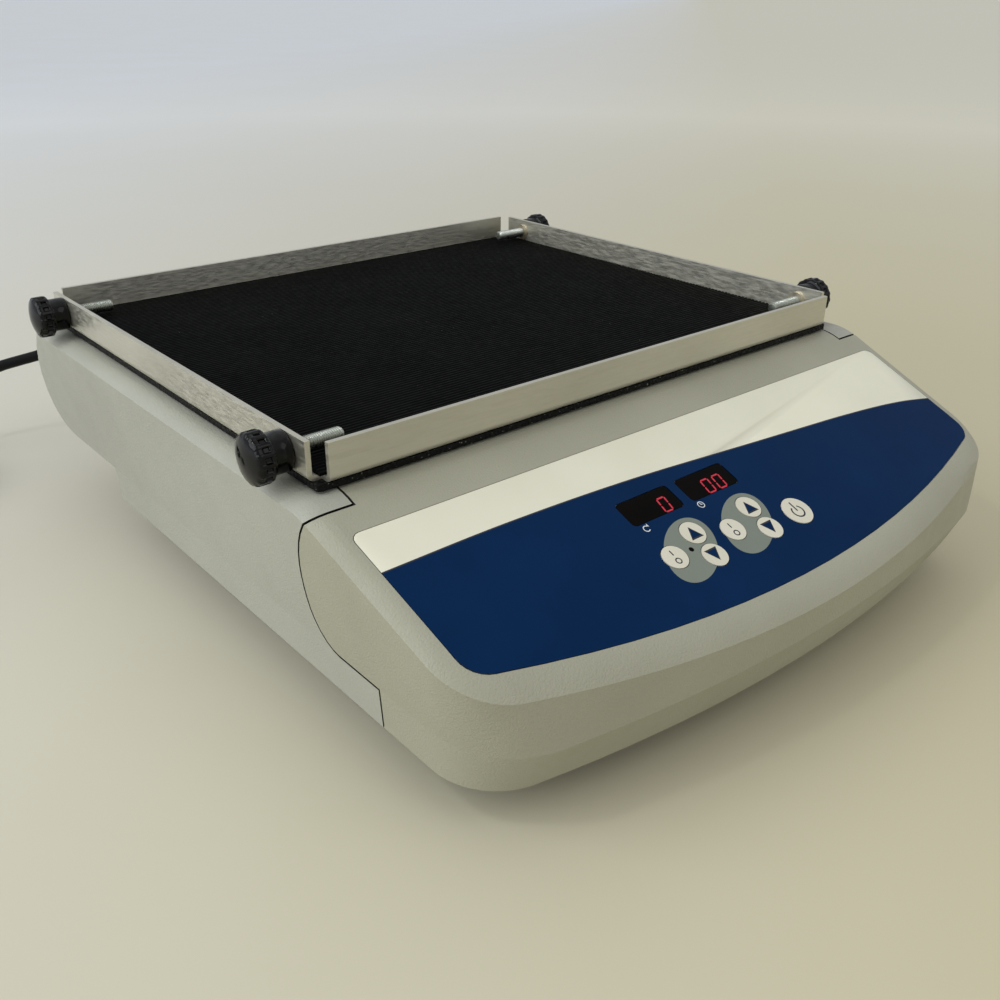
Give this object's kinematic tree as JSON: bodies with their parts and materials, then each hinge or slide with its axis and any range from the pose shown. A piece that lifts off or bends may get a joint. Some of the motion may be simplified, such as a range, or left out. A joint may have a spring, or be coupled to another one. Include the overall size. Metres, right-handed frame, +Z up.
{
  "type": "orbital shaker",
  "caption": "Bench orbital shaker with a folded metal tray, screw clamp knobs and a sloping keypad console over a triple eccentric drive.",
  "frame": {"origin": "On the bench, midway between the clamp knobs' outer faces in X and between the console's front and the fullest part of the housing's rear in Y.", "axes": "+X to the right as seen from the console, +Y towards the rear, +Z up."},
  "size_m": [0.5122, 0.533, 0.1308],
  "materials": {
    "housing": "fine textured moulding, light warm grey",
    "console": "fine textured moulding, light warm grey",
    "pan": "powder coated",
    "foot_rubber": "matte",
    "zinc": "zinc plated",
    "overlay": "printed film, satin",
    "window": "dark tinted, smooth",
    "digits": "matte",
    "board": "soldermask",
    "switch_plastic": "satin",
    "key": "satin cream",
    "drive_plate": "zinc passivated",
    "machined": "machined",
    "bearing_steel": "ground",
    "black_steel": "black wrinkle coat",
    "pulley": "anodised",
    "motor_paint": "satin",
    "copper": "enamelled wire",
    "belt_rubber": "matte",
    "tray_metal": "brushed",
    "mat_rubber": "ribbed, matte",
    "stud_zinc": "zinc plated",
    "knob": "moulded, glossy",
    "lead": "satin PVC"
  },
  "bodies": {
    "housing": {"rear_housing": "housing", "front_console": "console", "base_pan": "pan", "feet": "foot_rubber", "pan_screws": "zinc", "keypad_overlay": "overlay", "speed_window": "window", "time_window": "window", "digit_displays": "digits", "display_board": "board", "board_screws": "zinc", "key_switches": "switch_plastic", "indicator": "switch_plastic", "drive_base_plate": "drive_plate", "bearing_blocks": "machined", "block_bearings": "bearing_steel", "block_screws": "black_steel", "motor_can": "motor_paint", "motor_stator": "copper", "drive_belt": "belt_rubber", "power_supply": "board", "drive_board": "board", "mains_inlet": "switch_plastic", "lead_connector": "lead", "lead_cord": "lead", "lead_coil": "lead", "lead_tie": "lead", "lead_tail": "lead", "lead_plug": "lead"},
    "drive": {"drive_shaft": "machined", "driven_pulley": "pulley", "counterweight": "black_steel"},
    "left_idler": {"left_idler_shaft": "machined"},
    "right_idler": {"right_idler_shaft": "machined"},
    "motor_rotor": {"motor_rotor": "machined", "motor_pulley": "pulley"},
    "platform": {"platform_plate": "black_steel", "platform_bearings": "bearing_steel", "tray": "tray_metal", "tray_screws": "zinc", "mat": "mat_rubber", "clinch_nuts": "zinc"},
    "stud_front_left": {"stud_front_left": "stud_zinc"},
    "knob_front_left": {"knob_front_left": "knob"},
    "stud_front_right": {"stud_front_right": "stud_zinc"},
    "knob_front_right": {"knob_front_right": "knob"},
    "stud_back_left": {"stud_back_left": "stud_zinc"},
    "knob_back_left": {"knob_back_left": "knob"},
    "stud_back_right": {"stud_back_right": "stud_zinc"},
    "knob_back_right": {"knob_back_right": "knob"},
    "key_speed_up": {"key_speed_up": "key"},
    "key_speed_down": {"key_speed_down": "key"},
    "key_speed_onoff": {"key_speed_onoff": "key"},
    "key_time_up": {"key_time_up": "key"},
    "key_time_down": {"key_time_down": "key"},
    "key_time_onoff": {"key_time_onoff": "key"},
    "key_power": {"key_power": "key"}
  },
  "joints": [
    {"name": "drive_spin", "type": "hinge", "parent": "housing", "child": "drive", "pos_m": [0.005, 0.08449, 0.079], "axis": [0, 0, 1], "continuous": true},
    {"name": "platform_orbit", "type": "hinge", "parent": "drive", "child": "platform", "pos_m": [0, 0.0926, 0.0986], "axis": [0, 0, 1], "continuous": true},
    {"name": "left_idler_spin", "type": "hinge", "parent": "housing", "child": "left_idler", "pos_m": [-0.09, -0.02051, 0.079], "axis": [0, 0, 1], "continuous": true},
    {"name": "right_idler_spin", "type": "hinge", "parent": "housing", "child": "right_idler", "pos_m": [0.1, -0.02051, 0.079], "axis": [0, 0, 1], "continuous": true},
    {"name": "motor_spin", "type": "hinge", "parent": "housing", "child": "motor_rotor", "pos_m": [-0.079, 0.08449, 0.065], "axis": [0, 0, 1], "continuous": true},
    {"name": "clamp_slide_front_left", "type": "slide", "parent": "platform", "child": "stud_front_left", "axis": [-1, 0, 0], "range_m": [0, 0.012]},
    {"name": "clamp_turn_front_left", "type": "hinge", "parent": "stud_front_left", "child": "knob_front_left", "pos_m": [-0.1651, -0.0754, 0.12], "axis": [-1, 0, 0], "range_deg": [0, 4320]},
    {"name": "clamp_slide_front_right", "type": "slide", "parent": "platform", "child": "stud_front_right", "axis": [1, 0, 0], "range_m": [0, 0.012]},
    {"name": "clamp_turn_front_right", "type": "hinge", "parent": "stud_front_right", "child": "knob_front_right", "pos_m": [0.1651, -0.0754, 0.12], "axis": [1, 0, 0], "range_deg": [0, 4320]},
    {"name": "clamp_slide_back_left", "type": "slide", "parent": "platform", "child": "stud_back_left", "axis": [-1, 0, 0], "range_m": [0, 0.012]},
    {"name": "clamp_turn_back_left", "type": "hinge", "parent": "stud_back_left", "child": "knob_back_left", "pos_m": [-0.1651, 0.1606, 0.12], "axis": [-1, 0, 0], "range_deg": [0, 4320]},
    {"name": "clamp_slide_back_right", "type": "slide", "parent": "platform", "child": "stud_back_right", "axis": [1, 0, 0], "range_m": [0, 0.012]},
    {"name": "clamp_turn_back_right", "type": "hinge", "parent": "stud_back_right", "child": "knob_back_right", "pos_m": [0.1651, 0.1606, 0.12], "axis": [1, 0, 0], "range_deg": [0, 4320]},
    {"name": "speed_up_press", "type": "slide", "parent": "housing", "child": "key_speed_up", "axis": [0, 0.3746, -0.9272], "range_m": [0, 0.0005], "stiffness_N_per_m": 1500, "springref_m": -0.0004},
    {"name": "speed_down_press", "type": "slide", "parent": "housing", "child": "key_speed_down", "axis": [0, 0.3746, -0.9272], "range_m": [0, 0.0005], "stiffness_N_per_m": 1500, "springref_m": -0.0004},
    {"name": "speed_onoff_press", "type": "slide", "parent": "housing", "child": "key_speed_onoff", "axis": [0, 0.3746, -0.9272], "range_m": [0, 0.0005], "stiffness_N_per_m": 1500, "springref_m": -0.0004},
    {"name": "time_up_press", "type": "slide", "parent": "housing", "child": "key_time_up", "axis": [0, 0.3746, -0.9272], "range_m": [0, 0.0005], "stiffness_N_per_m": 1500, "springref_m": -0.0004},
    {"name": "time_down_press", "type": "slide", "parent": "housing", "child": "key_time_down", "axis": [0, 0.3746, -0.9272], "range_m": [0, 0.0005], "stiffness_N_per_m": 1500, "springref_m": -0.0004},
    {"name": "time_onoff_press", "type": "slide", "parent": "housing", "child": "key_time_onoff", "axis": [0, 0.3746, -0.9272], "range_m": [0, 0.0005], "stiffness_N_per_m": 1500, "springref_m": -0.0004},
    {"name": "power_press", "type": "slide", "parent": "housing", "child": "key_power", "axis": [0, 0.3746, -0.9272], "range_m": [0, 0.0005], "stiffness_N_per_m": 1500, "springref_m": -0.0004}
  ],
  "couplings": [
    {"joint": "platform_orbit", "follows": "drive_spin", "ratio": -1},
    {"joint": "left_idler_spin", "follows": "drive_spin", "ratio": 1},
    {"joint": "right_idler_spin", "follows": "drive_spin", "ratio": 1},
    {"joint": "motor_spin", "follows": "drive_spin", "ratio": 4},
    {"joint": "clamp_turn_front_left", "follows": "clamp_slide_front_left", "rad_per_m": 6283.2},
    {"joint": "clamp_turn_front_right", "follows": "clamp_slide_front_right", "rad_per_m": 6283.2},
    {"joint": "clamp_turn_back_left", "follows": "clamp_slide_back_left", "rad_per_m": 6283.2},
    {"joint": "clamp_turn_back_right", "follows": "clamp_slide_back_right", "rad_per_m": 6283.2}
  ]
}
